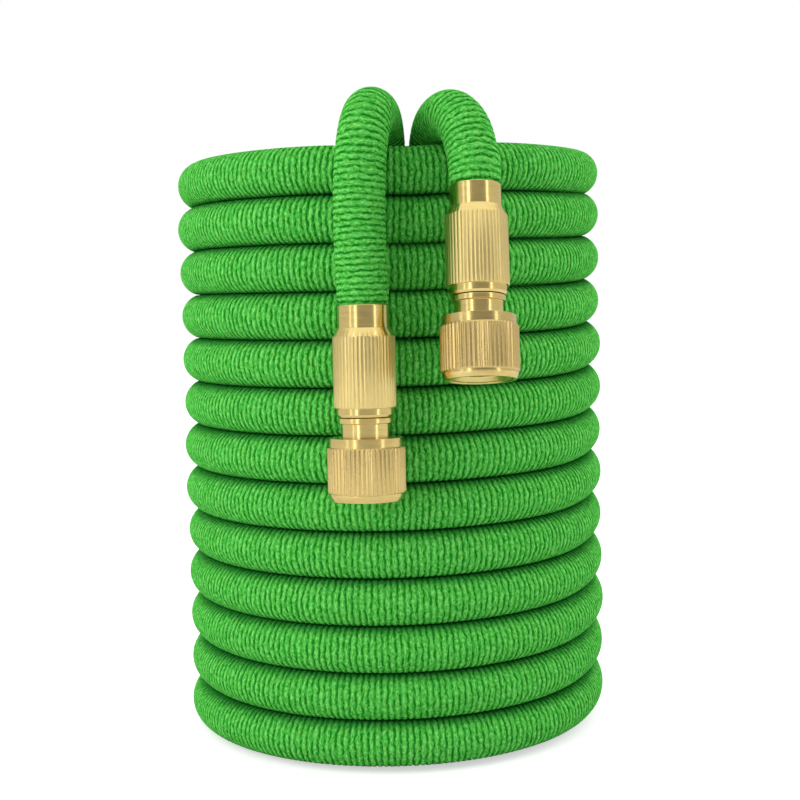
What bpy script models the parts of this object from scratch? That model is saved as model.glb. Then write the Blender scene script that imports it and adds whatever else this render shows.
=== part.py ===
# Stretch garden hose wound into an upright coil, with a brass quick connector on each end.
# Metres, +Z up. The coil stands on z = 0 and the origin is the centre of the footprint.
# The two ends of the hose leave the inside of the coil, arch over its top turn and hang
# down its front (-Y), each with a ferrule, a coupling nut, a connector body and a release
# collar that slides back along the body.

import math

import bmesh
import bpy
from mathutils import Vector

# Coil
TURN_COUNT = 13
TURN_PITCH = 0.0212
HOSE_DIAMETER = 0.022
COIL_OUTER_RADIUS = 0.1045
COIL_FOOT_WIDTH = 0.008
SEAM_DEPTH = 0.0042
COIL_STEPS = 36
POINTS_PER_TURN = 4

# Gap that touching pieces keep, and running clearance of the sliding collar
TOUCH_GAP = 0.0003
SLIDE_CLEARANCE = 0.0002

# Waterway through the brass pieces
WATERWAY_RADIUS = 0.005

# Ferrule: thin sleeve squeezed over the end of the hose
FERRULE_RADIUS = 0.0109
FERRULE_WALL = 0.0012
FERRULE_SHOWN = 0.0095
FERRULE_HIDDEN = 0.0080
HOSE_NECKING = 0.0030

# Coupling nut: cone, long grip, plain tapered ring
NUT_RADIUS = 0.01325
NUT_CONE_STEP = 0.0006
NUT_CONE_LENGTH = 0.0035
NUT_GRIP_LENGTH = 0.0299
NUT_RING_LENGTH = 0.0038
NUT_RING_TOP_RADIUS = 0.0126
NUT_RING_FOOT_RADIUS = 0.0116

# Connector body: spigot in the nut, flange, neck, socket
SPIGOT_RADIUS = 0.0086
SPIGOT_HEADROOM = 0.0008
FLANGE_RADIUS = 0.0115
FLANGE_LENGTH = 0.0024
NECK_RADIUS = 0.0103
NECK_LENGTH = 0.0060
SOCKET_BORE_RADIUS = 0.0098
SOCKET_DEPTH = 0.0170
SOCKET_CHAMFER = 0.0008
MOUTH_RECESS = 0.0010

# Release collar: plain band, fluted grip, bevelled lip
COLLAR_BAND_RADIUS = 0.01565
COLLAR_BAND_LENGTH = 0.0039
COLLAR_GRIP_RADIUS = 0.0165
COLLAR_GRIP_LENGTH = 0.0192
COLLAR_LIP_RADIUS = 0.0159
COLLAR_FOOT_RADIUS = 0.0150
COLLAR_LIP_LENGTH = 0.0033
COLLAR_ROOF = 0.0030
COLLAR_BORE_RADIUS = 0.0134

# Seal washer on the floor of the socket
SEAL_INNER_RADIUS = 0.0066
SEAL_THICKNESS = 0.0025

TURNED_STEPS = 24

# Where each hose end enters its ferrule, and how far the fitting's foot swings out from the
# coil. These points and the routes below are measured from the coil's axis at floor level.
# They are chosen for the wall radius and coil height given here, and follow the coil's own
LEFT_HOSE_END = (-0.0108, -0.1196, 0.2081)
LEFT_TILT = math.radians(2.0)
RIGHT_HOSE_END = (0.0371, -0.1168, 0.2567)
RIGHT_TILT = math.radians(10.5)
ROUTE_WALL_RADIUS = 0.0935
ROUTE_COIL_HEIGHT = 0.2756

# Hose route from the left ferrule: up the front, over the top turn, down inside the bore
# and round its foot to where the lowest turn begins
LEFT_ROUTE = [
    (-0.0112, -0.1192, 0.2240), (-0.0116, -0.1188, 0.2420), (-0.0112, -0.1182, 0.2600),
    (-0.0101, -0.1150, 0.2760), (-0.0085, -0.1070, 0.2873), (-0.0067, -0.0946, 0.2908),
    (-0.0050, -0.0822, 0.2873), (-0.0037, -0.0727, 0.2760), (-0.0031, -0.0707, 0.2600),
    (-0.0030, -0.0705, 0.2400), (-0.0030, -0.0705, 0.1950), (-0.0030, -0.0705, 0.1450),
    (-0.0030, -0.0705, 0.0950), (-0.0028, -0.0705, 0.0550), (0.0011, -0.0704, 0.0265),
    (0.0168, -0.0681, 0.0130), (0.0390, -0.0582, 0.0113), (0.0580, -0.0391, 0.0113),
    (0.0686, -0.0134, 0.0113), (0.0685, 0.0145, 0.0113), (0.0580, 0.0391, 0.0113),
    (0.0447, 0.0543, 0.0113),
]

# Hose route from the right ferrule: over the top turn, down into the bore and round it to
# where the highest turn ends
RIGHT_ROUTE = [
    (0.0368, -0.1140, 0.2680), (0.0345, -0.1068, 0.2815), (0.0295, -0.0946, 0.2893),
    (0.0247, -0.0780, 0.2858), (0.0218, -0.0685, 0.2730), (0.0213, -0.0670, 0.2570),
    (0.0212, -0.0665, 0.2430), (0.0205, -0.0630, 0.2310), (0.0161, -0.0545, 0.2215),
    (0.0035, -0.0487, 0.2175), (-0.0177, -0.0455, 0.2175), (-0.0418, -0.0337, 0.2220),
    (-0.0563, -0.0126, 0.2290), (-0.0582, 0.0160, 0.2390), (-0.0454, 0.0432, 0.2490),
    (-0.0203, 0.0631, 0.2580), (0.0090, 0.0689, 0.2630),
]
ROUTE_SPACING = 0.012
HOSE_SIDES_RESOLUTION = 3

HOSE_RADIUS = HOSE_DIAMETER / 2
WALL_RADIUS = COIL_OUTER_RADIUS - HOSE_RADIUS
COIL_HEIGHT = TURN_COUNT * TURN_PITCH

# Stations along a fitting, measured down its axis from the ferrule's upper rim
FERRULE_FOOT = FERRULE_SHOWN + FERRULE_HIDDEN
NUT_LEDGE = FERRULE_FOOT + TOUCH_GAP
NUT_GRIP_TOP = FERRULE_SHOWN + NUT_CONE_LENGTH
NUT_RING_TOP = NUT_GRIP_TOP + NUT_GRIP_LENGTH
NUT_FOOT = NUT_RING_TOP + NUT_RING_LENGTH
SPIGOT_TOP = NUT_LEDGE + SPIGOT_HEADROOM
FLANGE_TOP = NUT_FOOT + TOUCH_GAP
FLANGE_FOOT = FLANGE_TOP + FLANGE_LENGTH
COLLAR_TOP = FLANGE_FOOT + NECK_LENGTH
COLLAR_GRIP_TOP = COLLAR_TOP + COLLAR_BAND_LENGTH
COLLAR_LIP_TOP = COLLAR_GRIP_TOP + COLLAR_GRIP_LENGTH
COLLAR_FOOT = COLLAR_LIP_TOP + COLLAR_LIP_LENGTH
SHOULDER = COLLAR_TOP + COLLAR_ROOF + TOUCH_GAP
MOUTH = COLLAR_FOOT - MOUTH_RECESS
SOCKET_FLOOR = MOUTH - SOCKET_DEPTH


def fitting_direction(tilt):
    return Vector((0, -math.sin(tilt), -math.cos(tilt)))


def beside_coil(point):
    """Carry a chosen point along with the coil's wall and height."""
    x, y, z = point
    outward = Vector((x, y, 0)).normalized() * (WALL_RADIUS - ROUTE_WALL_RADIUS)
    height = HOSE_RADIUS + (z - HOSE_RADIUS) * COIL_HEIGHT / ROUTE_COIL_HEIGHT
    return Vector((x, y, height)) + outward


def front_reach():
    """Distance from the coil's axis to the foremost point of the right release collar."""
    hose_end = beside_coil(RIGHT_HOSE_END)
    grip_foot = hose_end + fitting_direction(RIGHT_TILT) * COLLAR_LIP_TOP
    return -grip_foot.y + COLLAR_GRIP_RADIUS * math.cos(RIGHT_TILT)


# The footprint's centre lies between the coil's back and the front of the right collar
COIL_AXIS = Vector((0, (front_reach() - COIL_OUTER_RADIUS) / 2, 0))


def make_material(name, color, metallic, roughness):
    material = bpy.data.materials.new(name)
    material.use_nodes = True
    shader = material.node_tree.nodes["Principled BSDF"]
    shader.inputs["Base Color"].default_value = (*color, 1)
    shader.inputs["Metallic"].default_value = metallic
    shader.inputs["Roughness"].default_value = roughness
    return material


def start_collection(name):
    collection = bpy.data.collections.new(name)
    bpy.context.scene.collection.children.link(collection)
    return collection


def turned_piece(name, profile, steps, material, collection):
    """Turn a closed profile of (radius, height) points about the object's Z axis."""
    mesh = bpy.data.meshes.new(name)
    section = bmesh.new()
    points = [section.verts.new((radius, 0, height)) for radius, height in profile]
    for first, second in zip(points, points[1:] + points[:1]):
        section.edges.new((first, second))
    section.to_mesh(mesh)
    section.free()
    piece = bpy.data.objects.new(name, mesh)
    collection.objects.link(piece)
    turn = piece.modifiers.new("Turn", "SCREW")
    turn.axis = "Z"
    turn.angle = math.tau
    turn.steps = steps
    turn.render_steps = steps
    turn.use_merge_vertices = True
    turn.merge_threshold = 0.00001
    turn.use_smooth_shade = True
    mesh.materials.append(material)
    return piece


def coil_profile():
    """Section of the coil: a row of turns outside, the flat foot, and the row inside."""
    notch = HOSE_RADIUS - SEAM_DEPTH
    outer = []
    inner = []
    for turn in range(TURN_COUNT):
        height = COIL_HEIGHT - (turn + 0.5) * TURN_PITCH
        for step in range(POINTS_PER_TURN):
            angle = math.pi * (0.5 - step / POINTS_PER_TURN)
            across = HOSE_RADIUS * math.cos(angle) if step else notch
            rise = TURN_PITCH / 2 * math.sin(angle)
            outer.append((WALL_RADIUS + across, height + rise))
            inner.append((WALL_RADIUS - across, height + rise))
    outer[0] = (WALL_RADIUS + COIL_FOOT_WIDTH / 2, COIL_HEIGHT)
    inner[0] = (WALL_RADIUS - COIL_FOOT_WIDTH / 2, COIL_HEIGHT)
    foot = [(WALL_RADIUS + COIL_FOOT_WIDTH / 2, 0), (WALL_RADIUS - COIL_FOOT_WIDTH / 2, 0)]
    return outer + foot + inner[::-1]


def smooth_route(points, spacing):
    """Points of an even Catmull-Rom curve through the given ones."""
    ends = [points[0] * 2 - points[1]] + points + [points[-1] * 2 - points[-2]]
    route = [points[0].copy()]
    for before, start, end, after in zip(ends, ends[1:], ends[2:], ends[3:]):
        pieces = max(1, round((end - start).length / spacing))
        for piece in range(1, pieces + 1):
            t = piece / pieces
            route.append(
                (
                    start * 2
                    + (end - before) * t
                    + (before * 2 - start * 5 + end * 4 - after) * t ** 2
                    + (start * 3 - before - end * 3 + after) * t ** 3
                )
                / 2
            )
    return route


def hose_tail(name, hose_end, tilt, route_points, material, collection):
    """Free end of the hose, necked down where it enters its ferrule."""
    direction = fitting_direction(tilt)
    squeezed = (FERRULE_RADIUS - FERRULE_WALL - TOUCH_GAP) / HOSE_RADIUS
    gripped = [
        hose_end + direction * (FERRULE_FOOT - TOUCH_GAP),
        hose_end - direction * TOUCH_GAP,
    ]
    free = smooth_route(
        [hose_end - direction * HOSE_NECKING] + [beside_coil(point) for point in route_points],
        ROUTE_SPACING,
    )
    curve = bpy.data.curves.new(name, "CURVE")
    curve.dimensions = "3D"
    curve.bevel_depth = HOSE_RADIUS
    curve.bevel_resolution = HOSE_SIDES_RESOLUTION
    curve.render_resolution_u = 0
    curve.use_fill_caps = True
    spline = curve.splines.new("POLY")
    spline.points.add(len(gripped) + len(free) - 1)
    for point, place in zip(spline.points, gripped + free):
        point.co = (*(place + COIL_AXIS), 1)
        point.radius = 1
    for point in spline.points[:len(gripped)]:
        point.radius = squeezed
    tail = bpy.data.objects.new(name, curve)
    collection.objects.link(tail)
    curve.materials.append(material)
    return tail


def ferrule_profile():
    inside = FERRULE_RADIUS - FERRULE_WALL
    return [
        (FERRULE_RADIUS, 0),
        (FERRULE_RADIUS, -FERRULE_FOOT),
        (inside, -FERRULE_FOOT),
        (inside, 0),
    ]


def nut_profile():
    ferrule_seat = FERRULE_RADIUS + TOUCH_GAP
    spigot_seat = SPIGOT_RADIUS + TOUCH_GAP
    return [
        (ferrule_seat + NUT_CONE_STEP, -FERRULE_SHOWN),
        (NUT_RADIUS, -NUT_GRIP_TOP),
        (NUT_RADIUS, -NUT_RING_TOP),
        (NUT_RING_TOP_RADIUS, -NUT_RING_TOP),
        (NUT_RING_FOOT_RADIUS, -NUT_FOOT),
        (spigot_seat, -NUT_FOOT),
        (spigot_seat, -NUT_LEDGE),
        (ferrule_seat, -NUT_LEDGE),
        (ferrule_seat, -FERRULE_SHOWN),
    ]


def body_profile():
    socket_radius = COLLAR_BORE_RADIUS - SLIDE_CLEARANCE
    return [
        (SPIGOT_RADIUS, -SPIGOT_TOP),
        (SPIGOT_RADIUS, -FLANGE_TOP),
        (FLANGE_RADIUS, -FLANGE_TOP),
        (FLANGE_RADIUS, -FLANGE_FOOT),
        (NECK_RADIUS, -FLANGE_FOOT),
        (NECK_RADIUS, -SHOULDER),
        (socket_radius, -SHOULDER),
        (socket_radius, -MOUTH),
        (SOCKET_BORE_RADIUS + SOCKET_CHAMFER, -MOUTH),
        (SOCKET_BORE_RADIUS, SOCKET_CHAMFER - MOUTH),
        (SOCKET_BORE_RADIUS, -SOCKET_FLOOR),
        (WATERWAY_RADIUS, -SOCKET_FLOOR),
        (WATERWAY_RADIUS, -SPIGOT_TOP),
    ]


def seal_profile():
    top = -(SOCKET_FLOOR + TOUCH_GAP)
    outside = SOCKET_BORE_RADIUS - TOUCH_GAP
    return [
        (outside, top),
        (outside, top - SEAL_THICKNESS),
        (SEAL_INNER_RADIUS, top - SEAL_THICKNESS),
        (SEAL_INNER_RADIUS, top),
    ]


def collar_profile():
    roof_bore = NECK_RADIUS + SLIDE_CLEARANCE
    return [
        (COLLAR_BAND_RADIUS, -COLLAR_TOP),
        (COLLAR_BAND_RADIUS, -COLLAR_GRIP_TOP),
        (COLLAR_GRIP_RADIUS, -COLLAR_GRIP_TOP),
        (COLLAR_GRIP_RADIUS, -COLLAR_LIP_TOP),
        (COLLAR_LIP_RADIUS, -COLLAR_LIP_TOP),
        (COLLAR_FOOT_RADIUS, -COLLAR_FOOT),
        (COLLAR_BORE_RADIUS, -COLLAR_FOOT),
        (COLLAR_BORE_RADIUS, -(COLLAR_TOP + COLLAR_ROOF)),
        (roof_bore, -(COLLAR_TOP + COLLAR_ROOF)),
        (roof_bore, -COLLAR_TOP),
    ]


def place_fitting(side, hose_end, tilt, brass, rubber, collection):
    """The turned pieces of one end, hung from the hose end along the tilted axis."""
    holder = bpy.data.objects.new(f"{side}_fitting", None)
    collection.objects.link(holder)
    holder.location = hose_end + COIL_AXIS
    holder.rotation_euler = (-tilt, 0, 0)
    pieces = [
        (f"{side}_ferrule", ferrule_profile(), brass),
        (f"{side}_coupling_nut", nut_profile(), brass),
        (f"{side}_connector_body", body_profile(), brass),
        (f"{side}_seal_washer", seal_profile(), rubber),
        (f"{side}_release_collar", collar_profile(), brass),
    ]
    for name, profile, material in pieces:
        piece = turned_piece(name, profile, TURNED_STEPS, material, collection)
        piece.parent = holder


for leftover in list(bpy.data.objects):
    bpy.data.objects.remove(leftover)

hose_parts = start_collection("garden_hose")
green_fabric = make_material("green_fabric", (0.075, 0.42, 0.055), 0.0, 0.85)
satin_brass = make_material("satin_brass", (0.69, 0.48, 0.17), 1.0, 0.32)
black_rubber = make_material("black_rubber", (0.02, 0.02, 0.02), 0.0, 0.7)

coil = turned_piece("hose_coil", coil_profile(), COIL_STEPS, green_fabric, hose_parts)
coil.location = COIL_AXIS

left_end = beside_coil(LEFT_HOSE_END)
right_end = beside_coil(RIGHT_HOSE_END)
hose_tail("left_hose_tail", left_end, LEFT_TILT, LEFT_ROUTE, green_fabric, hose_parts)
hose_tail("right_hose_tail", right_end, RIGHT_TILT, RIGHT_ROUTE, green_fabric, hose_parts)
place_fitting("left", left_end, LEFT_TILT, satin_brass, black_rubber, hose_parts)
place_fitting("right", right_end, RIGHT_TILT, satin_brass, black_rubber, hose_parts)
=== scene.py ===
import math

import bmesh
import bpy
import numpy as np
from mathutils import Matrix, Vector


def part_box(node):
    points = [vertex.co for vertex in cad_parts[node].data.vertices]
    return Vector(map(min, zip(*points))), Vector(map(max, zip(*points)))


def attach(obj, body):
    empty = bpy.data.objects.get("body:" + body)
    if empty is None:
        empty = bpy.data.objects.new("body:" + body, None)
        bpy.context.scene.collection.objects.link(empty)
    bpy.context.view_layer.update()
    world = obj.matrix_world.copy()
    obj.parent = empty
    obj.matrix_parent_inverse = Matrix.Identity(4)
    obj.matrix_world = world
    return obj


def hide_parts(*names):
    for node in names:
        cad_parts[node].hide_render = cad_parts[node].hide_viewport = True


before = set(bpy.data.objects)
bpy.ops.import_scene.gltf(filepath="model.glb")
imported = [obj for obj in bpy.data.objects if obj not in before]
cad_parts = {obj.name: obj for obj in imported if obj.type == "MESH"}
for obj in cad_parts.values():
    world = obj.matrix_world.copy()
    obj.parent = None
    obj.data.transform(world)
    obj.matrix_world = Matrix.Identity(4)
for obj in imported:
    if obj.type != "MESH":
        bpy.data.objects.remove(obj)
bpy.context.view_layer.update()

# the middle of the standing coil, on the floor
coilLow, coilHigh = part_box("hose_coil")
coilAxis = np.array([(coilLow.x + coilHigh.x) / 2, (coilLow.y + coilHigh.y) / 2, 0.0])


print("camera")
view = {
    "distance": 0.69,          # from the coil's axis
    "height": 0.2103,
    "sideways": 0.0038,
    "focal": 1360,             # in pixels
    "eyeLevel": 299,           # row of the picture at the camera's height
    "roll": 1.22,
    "image": 800,
}


def placeCamera():
    data = bpy.data.cameras.new("camera")
    data.lens = view["focal"] / view["image"] * data.sensor_width
    camera = bpy.data.objects.new("camera", data)
    bpy.context.scene.collection.objects.link(camera)
    lookDown = math.atan((view["image"] / 2 - view["eyeLevel"]) / view["focal"])
    place = (coilAxis[0] + view["sideways"], coilAxis[1] - view["distance"], view["height"])
    camera.matrix_world = (
        Matrix.Translation(place)
        @ Matrix.Rotation(math.pi / 2 - lookDown, 4, "X")
        @ Matrix.Rotation(math.radians(-view["roll"]), 4, "Z")
    )
    bpy.context.scene.camera = camera


placeCamera()


# where the hose comes out of each ferrule, measured from the coil's axis, and the fitting's lean
ends = {
    "left": {"place": (-0.0108, -0.1196, 0.2081), "tilt": 2.0},
    "right": {"place": (0.0371, -0.1168, 0.2567), "tilt": 10.5},
}
# up the front, over the top turn, down inside and round the foot to the lowest turn
leftRoute = [
    (-0.0112, -0.1192, 0.2240), (-0.0116, -0.1188, 0.2420), (-0.0112, -0.1182, 0.2600),
    (-0.0099, -0.1150, 0.2760), (-0.0077, -0.1070, 0.2873), (-0.0053, -0.0946, 0.2908),
    (-0.0033, -0.0822, 0.2873), (-0.0023, -0.0727, 0.2760), (-0.0023, -0.0707, 0.2600),
    (-0.0026, -0.0705, 0.2400), (-0.0030, -0.0705, 0.1950), (-0.0030, -0.0705, 0.1450),
    (-0.0030, -0.0705, 0.0950), (-0.0028, -0.0705, 0.0550), (0.0011, -0.0704, 0.0265),
    (0.0168, -0.0681, 0.0130), (0.0390, -0.0582, 0.0113), (0.0580, -0.0391, 0.0113),
    (0.0686, -0.0134, 0.0113), (0.0685, 0.0145, 0.0113), (0.0580, 0.0391, 0.0113),
    (0.0447, 0.0543, 0.0113),
]
# over the top turn, down into the bore and round it to the end of the highest turn
rightRoute = [
    (0.0367, -0.1140, 0.2680), (0.0340, -0.1068, 0.2815), (0.0282, -0.0946, 0.2893),
    (0.0227, -0.0780, 0.2860), (0.0206, -0.0685, 0.2730), (0.0205, -0.0670, 0.2570),
    (0.0208, -0.0665, 0.2430), (0.0205, -0.0630, 0.2310), (0.0161, -0.0545, 0.2215),
    (0.0035, -0.0487, 0.2175), (-0.0177, -0.0455, 0.2175), (-0.0418, -0.0337, 0.2220),
    (-0.0563, -0.0126, 0.2290), (-0.0582, 0.0160, 0.2390), (-0.0454, 0.0432, 0.2490),
    (-0.0203, 0.0631, 0.2580), (0.0090, 0.0689, 0.2630),
]

# a pair is where a change starts and how long it takes, both in turns
coil = {
    "turns": 13,
    "pitch": 0.0212,
    "radius": 0.0935,                  # to the middle of the hose
    "floorHeight": 0.0107,
    "pointsPerTurn": 90,
    "back": 0.25,                      # turns are counted from the back of the coil
    "steadyClimb": 0.20,               # share of the climb that goes on all the way round
    "crossing": (0.62, 0.50),          # the rest of it, on the way to the back and past it
    "entering": (-0.083, 0.25),        # out to the full radius
    "leaving": (-0.278, 0.21),         # in again, counted from the end of the last turn
    "pressing": (0, 0.2),              # the turns start to lie on each other
    "lastRise": 0.2,                   # the last stretch, up to the right run
    "wander": 0.00025,                 # how far a turn strays in and out
    "wanderWaves": ((2.3, 1.1), (5.1, 0.4)),
    "sideLift": 0.0012,                # the turns ride up a little at both sides
    "liftStart": (0, 2.5),
    "liftEnd": (-0.45, 0.2),           # from the end of the last turn
    "frontDip": 0.0018,                # the top turns sink where the arches lie on them
    "dipStart": (-3.3, 1.8),           # from the end of the last turn
    "dipPlace": 0.517,
    "dipWidth": 0.045,
}
lineSteps = {
    "route": 0.003,            # points of the uncoiled stretches, and their straight start
    "whole": 0.002,            # points of the whole line while it is smoothed
    "fine": 0.001,             # and when the ribs are set out along it
    "smoothings": 3,
}


def smoothStep(x):
    x = np.clip(x, 0, 1)
    return x * x * (3 - 2 * x)


def ramp(x, start, span):
    # 0 before the start, 1 after the span
    return smoothStep((x - start) / span)


def hangingDirection(side):
    tilt = math.radians(ends[side]["tilt"])
    return np.array([0, -math.sin(tilt), -math.cos(tilt)])


def smoothRoute(points, spacing):
    # a curve through all the points
    points = [np.array(p, float) for p in points]
    points = [2 * points[0] - points[1]] + points + [2 * points[-1] - points[-2]]
    line = [points[1]]
    for a, b, c, d in zip(points, points[1:], points[2:], points[3:]):
        steps = max(1, round(np.linalg.norm(c - b) / spacing))
        for step in range(1, steps + 1):
            t = step / steps
            line.append(0.5 * (2 * b + (c - a) * t + (2 * a - 5 * b + 4 * c - d) * t ** 2
                               + (3 * b - a - 3 * c + d) * t ** 3))
    return np.array(line)


def freeRun(side, route):
    # the uncoiled stretch from its ferrule, with no turn below or above it
    start = ends[side]["place"] - hangingDirection(side) * lineSteps["route"]
    line = smoothRoute([start] + route, lineSteps["route"])
    return np.concatenate([line, np.zeros((len(line), 2))], 1)


def evenly(line, spacing):
    # the same line with its points evenly spaced, and its length
    strides = np.linalg.norm(np.diff(line[:, :3], axis=0), axis=1)
    along = np.concatenate([[0], np.cumsum(strides)])
    places = np.linspace(0, along[-1], max(2, round(along[-1] / spacing) + 1))
    return np.stack([np.interp(places, along, column) for column in line.T], 1), along[-1]


def coilHeight(turn):
    crossings = sum(ramp(turn - k, *coil["crossing"]) for k in range(coil["turns"]))
    steady = coil["steadyClimb"]
    return coil["floorHeight"] + coil["pitch"] * (steady * turn + (1 - steady) * crossings)


def woundRun(left, right):
    # the coil's turns, from the end of the left run to the end of the right one, with the
    # share in which each point is wound up and the share in which a turn lies on it
    turns, back, step = coil["turns"], coil["back"], 1 / coil["pointsPerTurn"]
    first = math.atan2(left[-1][1], left[-1][0]) / math.tau - back
    last = math.atan2(right[-1][1], right[-1][0]) / math.tau - back + turns
    turn = np.arange(first + step, last, step)
    toEnd = turn - turns
    angle = math.tau * (turn + back)

    leaving = ramp(toEnd, *coil["leaving"])
    wander = sum(np.sin(turn * rate + phase) for rate, phase in coil["wanderWaves"])
    radius = coil["radius"] + coil["wander"] * wander
    innerLeft, innerRight = np.hypot(*left[-1][:2]), np.hypot(*right[-1][:2])
    radius = innerLeft + (radius - innerLeft) * ramp(turn, *coil["entering"])
    radius = radius + (innerRight - radius) * leaving

    lastRise = coil["lastRise"]
    height = coilHeight(np.minimum(turn, turns - lastRise))
    height = height + (right[-1][2] - height) * ramp(toEnd, -lastRise, lastRise)
    lifted = ramp(turn, *coil["liftStart"]) * (1 - ramp(toEnd, *coil["liftEnd"]))
    height = height + coil["sideLift"] * np.cos(angle) ** 2 * lifted
    fromArches = ((turn % 1) - coil["dipPlace"]) / coil["dipWidth"]
    dipped = ramp(toEnd, *coil["dipStart"]) * np.exp(-fromArches ** 2)
    height = height - coil["frontDip"] * dipped

    wound = ramp(turn, *coil["pressing"]) * (1 - leaving)
    covered = wound * (1 - ramp(toEnd + 1, *coil["leaving"]))
    return np.stack([radius * np.cos(angle), radius * np.sin(angle), height, wound, covered], 1)


def hoseCentreline():
    # up from the left ferrule over the top, down inside, round the coil and out again
    left, right = freeRun("left", leftRoute), freeRun("right", rightRoute)
    whole = np.concatenate([left, woundRun(left, right), right[::-1]])
    line, _ = evenly(whole, lineSteps["whole"])
    for _ in range(lineSteps["smoothings"]):
        inside = line[1:-1] * 0.5 + (line[:-2] + line[2:]) * 0.25
        line = np.concatenate([line[:1], inside, line[-1:]])
    gripped = [[*(ends[side]["place"] + hangingDirection(side) * ferrule["grip"]), 0, 0]
               for side in ("left", "right")]
    line = np.concatenate([gripped[:1], line, gripped[1:]])
    return line + [*coilAxis, 0, 0]


def slidFrames(line):
    # two cross directions at each point, carried along without twist
    forward = np.gradient(line, axis=0)
    forward /= np.linalg.norm(forward, axis=1)[:, None]
    side = np.empty_like(line)
    side[0] = np.cross(forward[0], [1.0, 0.0, 0.0])
    side[0] /= np.linalg.norm(side[0])
    for i in range(1, len(line)):
        across = side[i - 1] - forward[i] * side[i - 1].dot(forward[i])
        side[i] = across / np.linalg.norm(across)
    return side, np.cross(forward, side)


hose = {
    "radius": 0.011,
    "sides": 40,
    "pieces": 5,
    "seed": 5,
    "ribPitch": 0.0026,
    "ribShares": (0.0, 0.30, 0.70),    # rings of one rib: its groove and its two shoulders
    "grooveDepth": 0.00042,
    "depthStray": 0.35,
    "depthLimits": (0.3, 1.5),         # times the groove's depth
    "shoulderDepth": 0.00004,
    "waves": 10,                       # waves of a groove, once round the hose
    "waveHeight": 0.00028,
    "waveStray": (0.55, 1.25),         # times the wave's height
    "phaseStray": 0.5,
    "phaseDrift": 0.13,                # from one groove to the next
    "bendHeight": 0.00012,             # a slower wave of two bends, once round the hose
    "bendDrift": 0.37,
    "unevenness": 0.00014,
    "tallness": 0.0111,                # half the height of a turn before it flattens
    "halfGap": 0.01055,                # where it meets its neighbour
    "pressSoftness": 0.0002,
    "creaseAbove": 0.58,               # where the painted shade towards the next turn starts, up and down from the hose's middle, in shares of its radius
    "creaseBelow": 0.80,               # down from the hose's middle, in shares of its radius
    "creaseFull": 0.98,
    "squeezed": 0.0094,                # radius inside the ferrule
    "neck": 0.0030,                    # stretch over which it narrows
    "floorGap": 0.0002,
}
ferrule = {
    "radius": 0.0109,
    "wall": 0.0012,
    "foot": 0.0175,            # all stations are measured down from the ferrule's rim
    "grip": 0.0172,
    "softening": 0.0004,
}
# where the arches shade the hose behind them, each pair a start and a length in metres
archShade = {
    "front": (-0.093, 0.012),  # measured from the coil's axis
    "inside": (-0.064, 0.010),
    "top": (0.268, 0.020),     # measured from the floor
    "sideways": 0.7,           # its strength on a side that looks left or right
    "turning": 0.8,            # added on the side that looks to the front
}
bakeMap = {
    "rows": 5,                 # a piece's tube is laid out in rows
    "rowMargin": 0.02,
    "rowFill": 0.94,
    "tubeShare": 0.98,         # the strip beside the rows holds the two end caps
    "capPlaces": (0.2, 0.6),
    "capRow": 0.99,
    "capRadius": 0.006,
}


def tubeFromCurve(name, line, sides):
    # a tube that Blender sweeps along the line, its rings in order
    curve = bpy.data.curves.new(name, "CURVE")
    curve.dimensions = "3D"
    curve.bevel_depth = hose["radius"]
    curve.bevel_resolution = (sides - 4) // 2
    curve.render_resolution_u = 0
    spline = curve.splines.new("POLY")
    spline.points.add(len(line) - 1)
    spline.points.foreach_set("co", np.concatenate([line, np.ones((len(line), 1))], 1).ravel())
    guide = bpy.data.objects.new(name + "_guide", curve)
    bpy.context.scene.collection.objects.link(guide)
    graph = bpy.context.evaluated_depsgraph_get()
    mesh = bpy.data.meshes.new_from_object(guide.evaluated_get(graph))
    bpy.data.objects.remove(guide)
    bpy.data.curves.remove(curve)
    tube = bpy.data.objects.new(name, mesh)
    bpy.context.scene.collection.objects.link(tube)
    return tube


def flattened(offset, below, above):
    # turns that lie on each other are flat where they touch, and how near a point is to that, for
    # painted shade
    upper = offset[..., 2] > 0
    pressing = np.where(upper, above, below)
    start = np.where(upper, hose["creaseAbove"], hose["creaseBelow"])
    # painted shade: the colour darkens towards where the next turn lies on it
    paintedCreaseShade = ramp(np.abs(offset[..., 2]) / hose["radius"], start, hose["creaseFull"] - start)
    paintedCreaseShade = paintedCreaseShade * pressing
    tall = offset[..., 2] * hose["tallness"] / hose["radius"]
    limit, soft = hose["halfGap"], hose["pressSoftness"]
    pressed = -soft * np.log(np.exp(-np.abs(tall) / soft) + math.exp(-limit / soft))
    offset[..., 2] += (np.sign(tall) * pressed - offset[..., 2]) * pressing
    return offset, paintedCreaseShade


def underArch(centre, outward):
    # the shaded side of the stretches that go down behind the arches
    behind = ramp(centre[..., 1], *archShade["front"])
    behind = behind * (1 - ramp(centre[..., 1], *archShade["inside"]))
    below = 1 - ramp(centre[..., 2], *archShade["top"])
    facing = smoothStep(archShade["sideways"] - archShade["turning"] * outward[..., 1])
    return behind * below * facing


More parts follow.
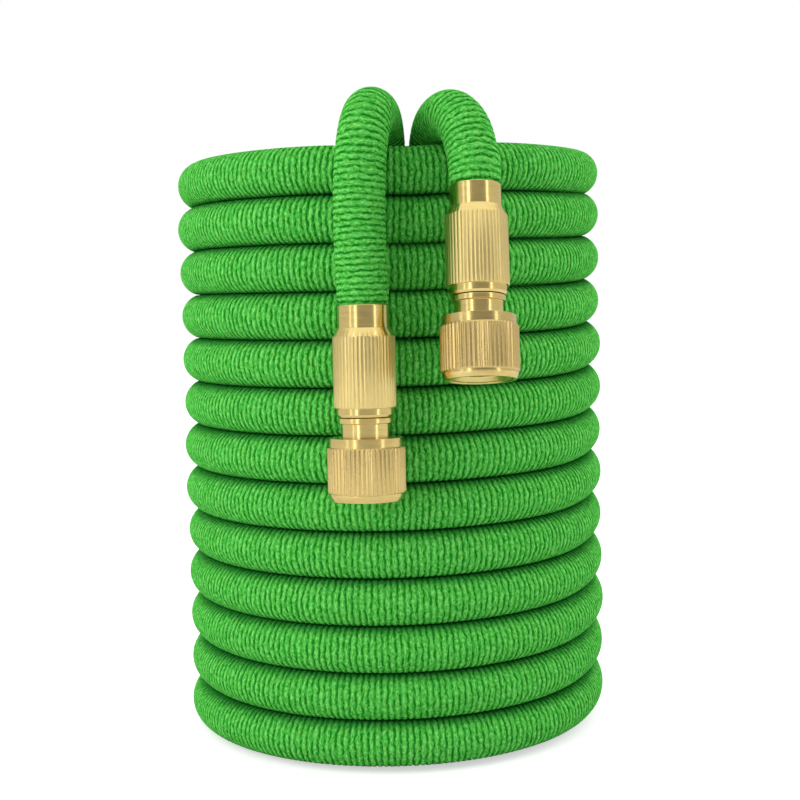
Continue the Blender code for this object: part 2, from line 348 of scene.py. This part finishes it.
def layMaps(mesh, rings, sides):
    # HoseMap counts ribs along and turns round. OFBake lays the tube out in rows.
    perRib = len(hose["ribShares"])
    vertex = np.empty(len(mesh.loops), np.int32)
    mesh.loops.foreach_get("vertex_index", vertex)
    ring, place = vertex // sides, vertex % sides
    starts = np.arange(0, len(vertex), 4)
    face = np.repeat(np.arange(len(mesh.polygons)), 4)
    spread = (np.maximum.reduceat(place, starts) - np.minimum.reduceat(place, starts))[face]
    atSeam = (spread > sides // 2) & (place == 0)
    roundShare = (place + np.where(atSeam, sides, 0)) / sides
    firstRing = np.minimum.reduceat(ring, starts)[face]
    perRow = math.ceil((rings - 1) / bakeMap["rows"])
    row = firstRing // perRow
    across = (ring - row * perRow) / perRow
    upward = row + bakeMap["rowMargin"] + bakeMap["rowFill"] * roundShare
    upward = upward / bakeMap["rows"] * bakeMap["tubeShare"]
    for name, u, v in (("HoseMap", ring / perRib, roundShare), ("OFBake", across, upward)):
        layer = mesh.uv_layers.new(name=name)
        layer.uv.foreach_set("vector", np.stack([u, v], 1).astype(np.float32).ravel())


def closeEnds(mesh):
    work = bmesh.new()
    work.from_mesh(mesh)
    rims = [edge for edge in work.edges if edge.is_boundary]
    caps = bmesh.ops.holes_fill(work, edges=rims, sides=0)["faces"]
    layer = work.loops.layers.uv["OFBake"]
    for capPlace, cap in zip(bakeMap["capPlaces"], caps):
        for i, corner in enumerate(cap.loops):
            angle = math.tau * i / len(cap.loops)
            corner[layer].uv = (capPlace + bakeMap["capRadius"] * math.cos(angle),
                                bakeMap["capRow"] + bakeMap["capRadius"] * math.sin(angle))
    bmesh.ops.recalc_face_normals(work, faces=work.faces)
    work.to_mesh(mesh)
    work.free()


def makeRun(name, middle, place, attributes, material):
    # a swept tube with its points moved to the ribs, its maps and its closed ends
    rings, sides = place.shape[:2]
    tube = tubeFromCurve(name, middle, sides)
    mesh = tube.data
    mesh.vertices.foreach_set("co", place.ravel())
    for label, values in attributes.items():
        layer = mesh.attributes.new(label, "FLOAT", "POINT")
        layer.data.foreach_set("value", values.ravel())
    mesh.materials.clear()
    mesh.materials.append(material)
    layMaps(mesh, rings, sides)
    closeEnds(mesh)
    mesh.shade_smooth()
    return tube


def makeHose(material):
    fine, length = evenly(hoseCentreline(), lineSteps["fine"])
    side, across = slidFrames(fine[:, :3])
    along = np.linspace(0, length, len(fine))
    sides, shares = hose["sides"], np.array(hose["ribShares"])
    ribs = round(length / hose["ribPitch"])
    pitch = length / ribs
    around = np.arange(sides) / sides * math.tau
    draw = np.random.default_rng(hose["seed"])
    strayPhase = draw.normal(0, hose["phaseStray"], ribs + 2)
    strayWave = draw.uniform(*hose["waveStray"], ribs + 2)
    uneven = draw.normal(0, 1, (ribs + 2, sides))
    uneven = (uneven + np.roll(uneven, 1, 1) + np.roll(uneven, -1, 1)) / 1.7    # about 1 again
    depths = np.clip(1 + hose["depthStray"] * uneven[::-1], *hose["depthLimits"])
    depths = hose["grooveDepth"] * depths
    print("hose length", round(length, 3), "ribs", ribs)

    def grooves(k):
        # where each groove lies along the hose, for every side of the tube
        phase = (k % 2) * math.pi + strayPhase[k] + hose["phaseDrift"] * k
        wave = np.sin(hose["waves"] * around[None, :] + phase[:, None]) * strayWave[k][:, None]
        bend = np.sin(2 * around[None, :] + hose["bendDrift"] * k[:, None])
        return ((k * pitch)[:, None] + hose["waveHeight"] * wave + hose["bendHeight"] * bend
                + hose["unevenness"] * uneven[k])

    def atPlaces(column, here):
        return np.interp(here, along, column)

    def vectorsAt(columns, here):
        return np.stack([atPlaces(columns[:, i], here) for i in range(3)], -1)

    edges = [round(i * ribs / hose["pieces"]) for i in range(hose["pieces"] + 1)]
    runs = []
    for number, (firstRib, lastRib) in enumerate(zip(edges, edges[1:]), 1):
        ring = np.arange(firstRib * len(shares), lastRib * len(shares) + 1)
        rib, part = ring // len(shares), ring % len(shares)
        share = shares[part][:, None]
        here = np.clip(grooves(rib) * (1 - share) + grooves(rib + 1) * share, 0, length)
        if firstRib == 0:
            here[0] = 0
        if lastRib == ribs:
            here[-1] = length
        centre = vectorsAt(fine, here)
        outward = (vectorsAt(side, here) * np.cos(around)[:, None]
                   + vectorsAt(across, here) * np.sin(around)[:, None])
        radius = hose["radius"] - np.where(part[:, None] == 0, depths[rib], hose["shoulderDepth"])
        fromEnd = np.minimum(here, length - here)
        gripped = 1 - ramp(fromEnd, ferrule["grip"], hose["neck"])
        radius = radius + (hose["squeezed"] - radius) * gripped
        wound, covered = atPlaces(fine[:, 3], here), atPlaces(fine[:, 4], here)
        offset, paintedCreaseShade = flattened(outward * radius[..., None], wound, covered)
        # painted shade under the arches, on the loose stretches behind them, joins the crease's
        # painted shade
        paintedCreaseShade = np.maximum(paintedCreaseShade, underArch(centre - coilAxis, outward) * (1 - wound))
        place = centre + offset
        place[..., 2] = np.maximum(place[..., 2], hose["floorGap"])
        middle = centre.mean(1)
        attributes = {"paintedCreaseShade": paintedCreaseShade, "loose": 1 - wound}
        runs.append((makeRun(f"hose_run_{number}", middle, place, attributes, material), middle))
    return runs


# the materials' tools
class Value:                   # one output of a material's nodes, used like a number
    def __init__(self, shade, socket):
        self.shade = shade
        self.socket = socket

    def math(self, operation, *others):
        values = dict(enumerate((self, *others)))
        return self.shade.node("ShaderNodeMath", {"operation": operation}, values)

    def __add__(self, other):
        return self.math("ADD", other)

    def __sub__(self, other):
        return self.math("SUBTRACT", other)

    def __rsub__(self, other):
        return (self * -1) + other

    def __mul__(self, other):
        return self.math("MULTIPLY", other)

    __radd__ = __add__
    __rmul__ = __mul__


class Shade:                   # nodes of a material or world, added one expression at a time
    def __init__(self, owner, fixed):
        self.owner = owner
        owner.use_nodes = True
        self.tree = owner.node_tree
        self.shader = self.tree.nodes.get("Principled BSDF") or self.tree.nodes["Background"]
        self.feed(self.shader, fixed)

    def feed(self, node, sockets):
        for name, value in sockets.items():
            if isinstance(value, Value):
                self.tree.links.new(value.socket, node.inputs[name])
            else:
                node.inputs[name].default_value = value

    def node(self, kind, settings, sockets, output=0):
        made = self.tree.nodes.new(kind)
        for name, value in settings.items():
            setattr(made, name, value)
        self.feed(made, sockets)
        return Value(self, made.outputs[output])

    def noise(self, place, scale, detail=1.0):
        sockets = {"Vector": place, "Scale": scale, "Detail": detail}
        return self.node("ShaderNodeTexNoise", {}, sockets)

    def stretched(self, place, factors):
        return self.node("ShaderNodeVectorMath", {"operation": "MULTIPLY"}, {0: place, 1: factors})

    def mask(self, value, low, high):
        return self.node("ShaderNodeMapRange", {"interpolation_type": "SMOOTHSTEP"},
                         {0: value, 1: low, 2: high})

    def mix(self, factor, first, second):
        sockets = {0: factor, 6: first, 7: second}
        return self.node("ShaderNodeMix", {"data_type": "RGBA"}, sockets, 2)

    def bump(self, height, distance):
        sockets = {"Height": height, "Distance": distance, "Strength": 1.0}
        return self.node("ShaderNodeBump", {}, sockets)


# patterns are given in steps per millimetre, edges as the two values between which one fades in
fabric = {
    "ridge": (0.185, 0.685, 0.138, 1),
    # the ridge in painted shade: the rib shoulders take it, and the threads vary at random between
    # it and the ridge
    "shadedRidge": (0.029, 0.350, 0.027, 1),
    # painted shade in the grooves between the ribs
    "groove": (0.003, 0.175, 0.006, 1),
    # painted shade in the creases between the turns and under the arches
    "paintedCreaseShade": (0.0005, 0.110, 0.013, 1),
    "fleck": (0.22, 0.46, 0.05, 1),
    "roughness": 0.85,
    "grain": 0.00030,                  # height of the threads, in metres
    "threads": (0.60, 0.60, 2.5),
    "mottle": 0.85,
    "dashes": (0.42, 0.42, 0.55),
    "stray": (0.60, 0.60, 0.38),
    "strayReach": 0.30,                # in ribs
    "flecks": 0.55,
    "lightEdges": (0.35, 0.65),
    "grooveEdges": (0.34, 1.0),        # 0 is the top of a rib and 1 the groove
    "shoulderEdges": (0.10, 0.90),
    "shoulderShade": 0.55,
    "dashEdges": (0.34, 0.60),
    "betweenDashes": 0.25,             # what is left of a groove's painted shade there
    "woundGrooves": 0.95,              # and on the wound turns
    "fleckEdges": (0.60, 0.72),
    "fleckShare": 0.35,
    "creaseShare": 0.85,
}


def greenFabric():
    shade = Shade(bpy.data.materials.new("green_fabric"), {
        "Roughness": fabric["roughness"], "Specular IOR Level": 0.0})
    grid = shade.node("ShaderNodeUVMap", {"uv_map": "HoseMap"}, {})
    ribs = shade.node("ShaderNodeSeparateXYZ", {}, {0: grid}, 0)
    angle = shade.node("ShaderNodeSeparateXYZ", {}, {0: grid}, 1) * math.tau
    # the hose as if it lay straight, in millimetres
    radius, pitch = hose["radius"] * 1000, hose["ribPitch"] * 1000
    straight = shade.node("ShaderNodeCombineXYZ", {}, {
        0: angle.math("COSINE") * radius, 1: angle.math("SINE") * radius, 2: ribs * pitch})
    threads = shade.noise(shade.stretched(straight, fabric["threads"]), 1.0, 2.0)
    mottle = shade.noise(straight, fabric["mottle"], 2.0)
    dashes = shade.noise(shade.stretched(straight, fabric["dashes"]), 1.0)
    stray = shade.noise(shade.stretched(straight, fabric["stray"]), 1.0)
    flecks = shade.noise(straight, fabric["flecks"])
    loose = shade.node("ShaderNodeAttribute", {"attribute_name": "loose"}, {}, 2)
    paintedCreaseShade = shade.node("ShaderNodeAttribute", {"attribute_name": "paintedCreaseShade"}, {}, 2)

    share = (ribs + (stray - 0.5) * fabric["strayReach"]).math("FRACT")
    fromRidge = (share - 0.5).math("ABSOLUTE") * 2
    faint, wound = fabric["betweenDashes"], fabric["woundGrooves"]
    # painted shade in the grooves, broken into dashes and a little paler on the wound turns
    depth = shade.mask(fromRidge, *fabric["grooveEdges"])
    depth = depth * (faint + shade.mask(dashes, *fabric["dashEdges"]) * (1 - faint))
    depth = depth * (wound + loose * (1 - wound))
    # painted shade on the rib shoulders, darker towards each groove
    shoulder = shade.mask(fromRidge, *fabric["shoulderEdges"]) * fabric["shoulderShade"]
    light = shade.mask(threads * 0.65 + mottle * 0.35, *fabric["lightEdges"])

    color = shade.mix(light, fabric["shadedRidge"], fabric["ridge"])
    fleck = shade.mask(flecks, *fabric["fleckEdges"]) * fabric["fleckShare"]
    color = shade.mix(fleck, color, fabric["fleck"])
    color = shade.mix(shoulder, color, fabric["shadedRidge"])
    color = shade.mix(depth, color, fabric["groove"])
    # painted shade: darker in the creases between turns and under the arches
    color = shade.mix(paintedCreaseShade * fabric["creaseShare"], color, fabric["paintedCreaseShade"])
    height = threads * 0.7 + mottle * 0.4 - depth * 1.3 - shoulder
    shade.feed(shade.shader, {"Base Color": color, "Normal": shade.bump(height, fabric["grain"])})
    return shade.owner


print("hose")
runs = makeHose(greenFabric())
for number, (run, path) in enumerate(runs, 1):
    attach(run, "hose")
    start = path[-1] if number == len(runs) else path[0]
    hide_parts({1: "left_hose_tail", len(runs): "right_hose_tail"}.get(number, "hose_coil"))


print("brass")
# streaks are counted per metre, across and along the fitting
finishes = {
    "polished": {"color": (0.83, 0.645, 0.25, 1), "shade": (0.79, 0.60, 0.22, 1),
                 "roughness": 0.20, "streaks": (90, 90, 900), "relief": 0.000002},
    "turned": {"color": (0.76, 0.58, 0.23, 1), "shade": (0.70, 0.52, 0.19, 1),
               "roughness": 0.22, "streaks": (200, 200, 1500), "relief": 0.000006},
    "satin": {"color": (0.84, 0.665, 0.27, 1), "shade": (0.80, 0.62, 0.24, 1),
              "roughness": 0.34, "streaks": (1300, 1300, 400), "relief": 0.000010},
    "knurled": {"color": (0.75, 0.565, 0.225, 1), "shade": (0.725, 0.535, 0.21, 1),
                "roughness": 0.28, "streaks": (1300, 1300, 400), "relief": 0.000002},
}
wear = {
    "clouds": 260,             # per metre
    "toneEdges": (0.38, 0.62),
    "cloudRoughness": 0.05,
    "streakRoughness": 0.04,
}
rubber = {
    "color": (0.035, 0.033, 0.030, 1),
    "shade": (0.012, 0.012, 0.012, 1),
    "roughness": 0.55,
    "grain": 1800,             # per metre
    "relief": 0.00008,
}
turning = {
    "steps": 120,
    "stepsPerFlute": 6,
    "joined": 1e-6,            # points that lie nearer are one
    "softenFrom": 30,          # degrees
}


def brass(name, side, finish):
    # the pattern leans with its fitting, so streaks run along flutes and round turned faces
    shade = Shade(bpy.data.materials.new(name), {"Metallic": 1.0})
    place = shade.node("ShaderNodeTexCoord", {}, {}, 3)
    tilt = math.radians(ends[side]["tilt"])
    place = shade.node("ShaderNodeMapping", {}, {"Vector": place, "Rotation": (tilt, 0, 0)})
    streak = shade.noise(shade.stretched(place, finish["streaks"]), 1.0, 2.0)
    cloud = shade.noise(place, wear["clouds"], 2.0)
    tone = shade.mask(streak * 0.65 + cloud * 0.35, *wear["toneEdges"])
    rough = finish["roughness"] + (cloud - 0.5) * wear["cloudRoughness"]
    rough = rough + (streak - 0.5) * wear["streakRoughness"]
    shade.feed(shade.shader, {
        "Base Color": shade.mix(tone, finish["shade"], finish["color"]),
        "Roughness": rough,
        "Normal": shade.bump(streak, finish["relief"]),
    })
    return shade.owner


def blackRubber():
    shade = Shade(bpy.data.materials.new("black_rubber"), {"Specular IOR Level": 0.4})
    place = shade.node("ShaderNodeTexCoord", {}, {}, 3)
    grain = shade.noise(place, rubber["grain"], 3.0)
    shade.feed(shade.shader, {
        "Base Color": shade.mix(grain, rubber["shade"], rubber["color"]),
        "Roughness": rubber["roughness"] + grain * 0.3,
        "Normal": shade.bump(grain, rubber["relief"]),
    })
    return shade.owner


def spun(outline, steps):
    # outline: radius and station down from the ferrule's rim, closed round the wall
    work = bmesh.new()
    ring = [work.verts.new((radius, 0, -station)) for radius, station in outline]
    edges = [work.edges.new(pair) for pair in zip(ring, ring[1:] + ring[:1])]
    bmesh.ops.spin(work, geom=ring + edges, cent=(0, 0, 0), axis=(0, 0, 1), dvec=(0, 0, 0),
                   angle=math.tau, steps=steps, use_merge=True, use_duplicate=False)
    bmesh.ops.remove_doubles(work, verts=work.verts, dist=turning["joined"])
    return work


def fluted(outline, grip):
    # the same, with straight flutes cut between the grip's two stations
    count, depth, near = grip["flutes"], grip["fluteDepth"], turning["joined"]
    work = spun(outline, turning["stepsPerFlute"] * count)
    for vert in work.verts:
        radius = math.hypot(vert.co.x, vert.co.y)
        within = grip["gripTop"] - near < -vert.co.z < grip["gripFoot"] + near
        if within and radius > grip["radius"] - 2 * depth:
            turn = math.atan2(vert.co.y, vert.co.x) / math.tau * count
            flute = grip["radius"] - depth * abs(math.cos(math.pi * turn)) ** grip["sharpness"]
            shrink = min(radius, flute) / radius
            vert.co.x *= shrink
            vert.co.y *= shrink
    return work


def finished(name, side, work, materials, softening, zone=(0, 0)):
    # hung on its axis; faces between the zone's two stations take the second material
    bmesh.ops.recalc_face_normals(work, faces=work.faces)
    for face in work.faces:
        face.material_index = int(zone[0] < -face.calc_center_median().z < zone[1])
    hung = Matrix.Translation(Vector(coilAxis) + Vector(ends[side]["place"]))
    work.transform(hung @ Matrix.Rotation(-math.radians(ends[side]["tilt"]), 4, "X"))
    mesh = bpy.data.meshes.new(name)
    work.to_mesh(mesh)
    work.free()
    for material in materials:
        mesh.materials.append(material)
    mesh.shade_smooth()
    piece = bpy.data.objects.new(name, mesh)
    bpy.context.scene.collection.objects.link(piece)
    soft = piece.modifiers.new("soft_edges", "BEVEL")
    soft.width = softening
    soft.segments = 2
    soft.limit_method = "ANGLE"
    soft.angle_limit = math.radians(turning["softenFrom"])
    soft.harden_normals = True
    return piece


def makeFerrule(side, materials):
    radius, inside, foot = ferrule["radius"], ferrule["radius"] - ferrule["wall"], ferrule["foot"]
    outline = [(radius, 0), (radius, foot), (inside, foot), (inside, 0)]
    work = spun(outline, turning["steps"])
    return finished(f"{side}_hose_ferrule", side, work, materials, ferrule["softening"])


nut = {
    "coneTop": 0.0095,
    "coneRadius": 0.0114,
    "gripTop": 0.0130,
    "gripFoot": 0.0429,
    "radius": 0.01325,
    "chamfer": 0.0006,
    "flutes": 44,
    "fluteDepth": 0.00028,
    "sharpness": 5,
    "ringTop": 0.04302,
    "ringRadius": 0.0121,
    "ringChamfer": 0.0010,     # the ring's foot narrows over this
    "ringFootRadius": 0.0115,
    "foot": 0.0467,
    "ledge": 0.0178,           # the ferrule stands on it
    "ferruleSeat": 0.0110,
    "spigotSeat": 0.0089,
    "softening": 0.00012,
}


def makeNut(side, materials):
    radius, low = nut["radius"], nut["radius"] - nut["fluteDepth"]
    outline = [
        (nut["coneRadius"], nut["coneTop"]),
        (low, nut["gripTop"]),
        (radius, nut["gripTop"] + nut["chamfer"]),
        (radius, nut["gripFoot"] - nut["chamfer"]),
        (low, nut["gripFoot"]),
        (nut["ringRadius"], nut["ringTop"]),
        (nut["ringRadius"], nut["foot"] - nut["ringChamfer"]),
        (nut["ringFootRadius"], nut["foot"]),
        (nut["spigotSeat"], nut["foot"]),
        (nut["spigotSeat"], nut["ledge"]),
        (nut["ferruleSeat"], nut["ledge"]),
        (nut["ferruleSeat"], nut["coneTop"]),
    ]
    grip = (nut["gripTop"], nut["gripFoot"])
    work = fluted(outline, nut)
    return finished(f"{side}_hose_nut", side, work, materials, nut["softening"], grip)


body = {
    "spigotRadius": 0.0086,
    "spigotTop": 0.0186,
    "flangeRadius": 0.0115,
    "flangeTop": 0.0470,
    "flangeFoot": 0.0494,
    "neckRadius": 0.0103,
    "shoulder": 0.0587,
    "socketRadius": 0.0132,
    "mouth": 0.0812,
    "boreRadius": 0.0098,
    "boreFloor": 0.0638,
    "mouthChamfer": 0.0018,
    "waterway": 0.0050,
    "softening": 0.0003,
}


def makeBody(side, materials):
    outline = [
        (body["spigotRadius"], body["spigotTop"]),
        (body["spigotRadius"], body["flangeTop"]),
        (body["flangeRadius"], body["flangeTop"]),
        (body["flangeRadius"], body["flangeFoot"]),
        (body["neckRadius"], body["flangeFoot"]),
        (body["neckRadius"], body["shoulder"]),
        (body["socketRadius"], body["shoulder"]),
        (body["socketRadius"], body["mouth"]),
        (body["boreRadius"] + body["mouthChamfer"], body["mouth"]),
        (body["boreRadius"], body["mouth"] - body["mouthChamfer"]),
        (body["boreRadius"], body["boreFloor"]),
        (body["waterway"], body["boreFloor"]),
        (body["waterway"], body["spigotTop"]),
    ]
    socket = (body["shoulder"], math.inf)
    work = spun(outline, turning["steps"])
    return finished(f"{side}_quick_connector", side, work, materials, body["softening"], socket)


washer = {
    "outside": 0.0095,
    "inside": 0.0066,
    "top": 0.0641,
    "foot": 0.0666,
    "steps": 72,
    "softening": 0.0005,
}


def makeWasher(side, materials):
    outline = [(washer["outside"], washer["top"]), (washer["outside"], washer["foot"]),
               (washer["inside"], washer["foot"]), (washer["inside"], washer["top"])]
    work = spun(outline, washer["steps"])
    return finished(f"{side}_rubber_washer", side, work, materials, washer["softening"])


collar = {
    "top": 0.0554,
    "bandRadius": 0.01565,
    "bandFoot": 0.0592,
    "gripTop": 0.0593,
    "gripFoot": 0.0785,
    "radius": 0.0165,
    "chamfer": 0.0005,
    "flutes": 52,
    "fluteDepth": 0.00043,
    "sharpness": 2.4,
    "lipTop": 0.0786,
    "lipBevel": 0.0797,        # the lip narrows from here to its foot
    "lipTopRadius": 0.0159,
    "lipFootRadius": 0.0150,
    "foot": 0.0818,
    "bore": 0.0134,
    "boreChamfer": 0.0004,
    "roof": 0.0584,            # underside of the roof that slides along the neck
    "neckBore": 0.0105,
    "softening": 0.00015,
}


def makeCollar(side, materials):
    radius, low = collar["radius"], collar["radius"] - collar["fluteDepth"]
    outline = [
        (collar["bandRadius"], collar["top"]),
        (collar["bandRadius"], collar["bandFoot"]),
        (low, collar["gripTop"]),
        (radius, collar["gripTop"] + collar["chamfer"]),
        (radius, collar["gripFoot"] - collar["chamfer"]),
        (low, collar["gripFoot"]),
        (collar["lipTopRadius"], collar["lipTop"]),
        (collar["lipTopRadius"], collar["lipBevel"]),
        (collar["lipFootRadius"], collar["foot"]),
        (collar["bore"] + collar["boreChamfer"], collar["foot"]),
        (collar["bore"], collar["foot"] - collar["boreChamfer"]),
        (collar["bore"], collar["roof"]),
        (collar["neckBore"], collar["roof"]),
        (collar["neckBore"], collar["top"]),
    ]
    grip = (collar["gripTop"], collar["gripFoot"])
    work = fluted(outline, collar)
    return finished(f"{side}_collar_sleeve", side, work, materials, collar["softening"], grip)


black = blackRubber()
for side in ("left", "right"):
    polished, turned, satin, knurled = [
        brass(f"{name}_brass_{side}", side, finish) for name, finish in finishes.items()]
    for piece, node, carrier, slot in (
        (makeFerrule(side, [polished]), "ferrule", "hose", "polished_brass"),
        (makeNut(side, [polished, satin]), "coupling_nut", "hose", "satin_brass"),
        (makeBody(side, [polished, satin]), "connector_body", "hose", "polished_brass"),
        (makeWasher(side, [black]), "seal_washer", "hose", "black_rubber"),
        (makeCollar(side, [turned, knurled]), "release_collar", f"{side}_collar", "satin_brass"),
    ):
        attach(piece, carrier)
        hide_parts(f"{side}_{node}")


print("studio")
studio = {
    "sides": 0.66,             # brightness of the white tent round the hose
    "front": 0.33,             # darker between the two strip lights, where the camera stands
    "top": 1.15,
    "topEdges": (0.45, 0.75),  # the sine of the height at which the top starts
    "frontWay": (0.17, -0.985),
    "frontEdges": (0.66, 0.80),
    "backdrop": 1.0,           # what the camera sees behind the hose
    "paper": 0.75,
    "paperRoughness": 0.9,
    "floorGlow": 0.55,
    "floorSize": 6.0,
    "lampAim": 0.16,           # height on the coil's axis
}
# name, degrees round from the camera, degrees up, distance, size, power, shows in the brass
lamps = (
    ("key_box", -60, 20, 1.5, (0.9, 0.9), 9.0, False),
    ("fill_box", 96, 20, 1.5, (0.9, 0.9), 7.4, False),
    ("left_strip", -31, 16, 1.3, (0.15, 1.1), 1.35, True),
    ("outer_strip", -54, 16, 1.3, (0.07, 1.1), 0.50, True),
    ("right_strip", 49, 16, 1.3, (0.11, 1.1), 0.95, True),
)


def makeFloor():
    work = bmesh.new()
    bmesh.ops.create_grid(work, x_segments=1, y_segments=1, size=studio["floorSize"])
    mesh = bpy.data.meshes.new("floor")
    work.to_mesh(mesh)
    work.free()
    paper = Shade(bpy.data.materials.new("white_paper"), {
        "Base Color": (*[studio["paper"]] * 3, 1),
        "Roughness": studio["paperRoughness"],
        "Emission Color": (1, 1, 1, 1),
    })
    seen = paper.node("ShaderNodeLightPath", {}, {}, 0)
    paper.feed(paper.shader, {"Emission Strength": seen * studio["floorGlow"]})
    mesh.materials.append(paper.owner)
    floor = bpy.data.objects.new("floor", mesh)
    bpy.context.scene.collection.objects.link(floor)


def makeTent():
    sky = Shade(bpy.data.worlds.new("studio"), {"Color": (1, 1, 1, 1)})
    direction = sky.node("ShaderNodeTexCoord", {}, {}, 0)
    x, y, z = (sky.node("ShaderNodeSeparateXYZ", {}, {0: direction}, i) for i in range(3))
    top = sky.mask(z, *studio["topEdges"])
    toFront = x * studio["frontWay"][0] + y * studio["frontWay"][1]
    front = sky.mask(toFront, *studio["frontEdges"]) * (1 - top)
    light = (studio["sides"] + front * (studio["front"] - studio["sides"])
             + top * (studio["top"] - studio["sides"]))
    seen = sky.node("ShaderNodeLightPath", {}, {}, 0)
    sky.feed(sky.shader, {"Strength": light * (1 - seen) + seen * studio["backdrop"]})
    bpy.context.scene.world = sky.owner


def makeLamp(name, turn, up, distance, size, power, shows):
    data = bpy.data.lights.new(name, "AREA")
    data.shape = "RECTANGLE"
    data.size, data.size_y = size
    data.energy = power
    lamp = bpy.data.objects.new(name, data)
    bpy.context.scene.collection.objects.link(lamp)
    turn, up = math.radians(turn), math.radians(up)
    middle = Vector((coilAxis[0], coilAxis[1], studio["lampAim"]))
    toward = Vector((math.sin(turn) * math.cos(up), -math.cos(turn) * math.cos(up), math.sin(up)))
    lamp.location = middle + toward * distance
    lamp.rotation_euler = (-toward).to_track_quat("-Z", "Y").to_euler()
    lamp.visible_glossy = shows


makeFloor()
makeTent()
for lamp in lamps:
    makeLamp(*lamp)
bpy.context.scene.view_settings.view_transform = "Standard"
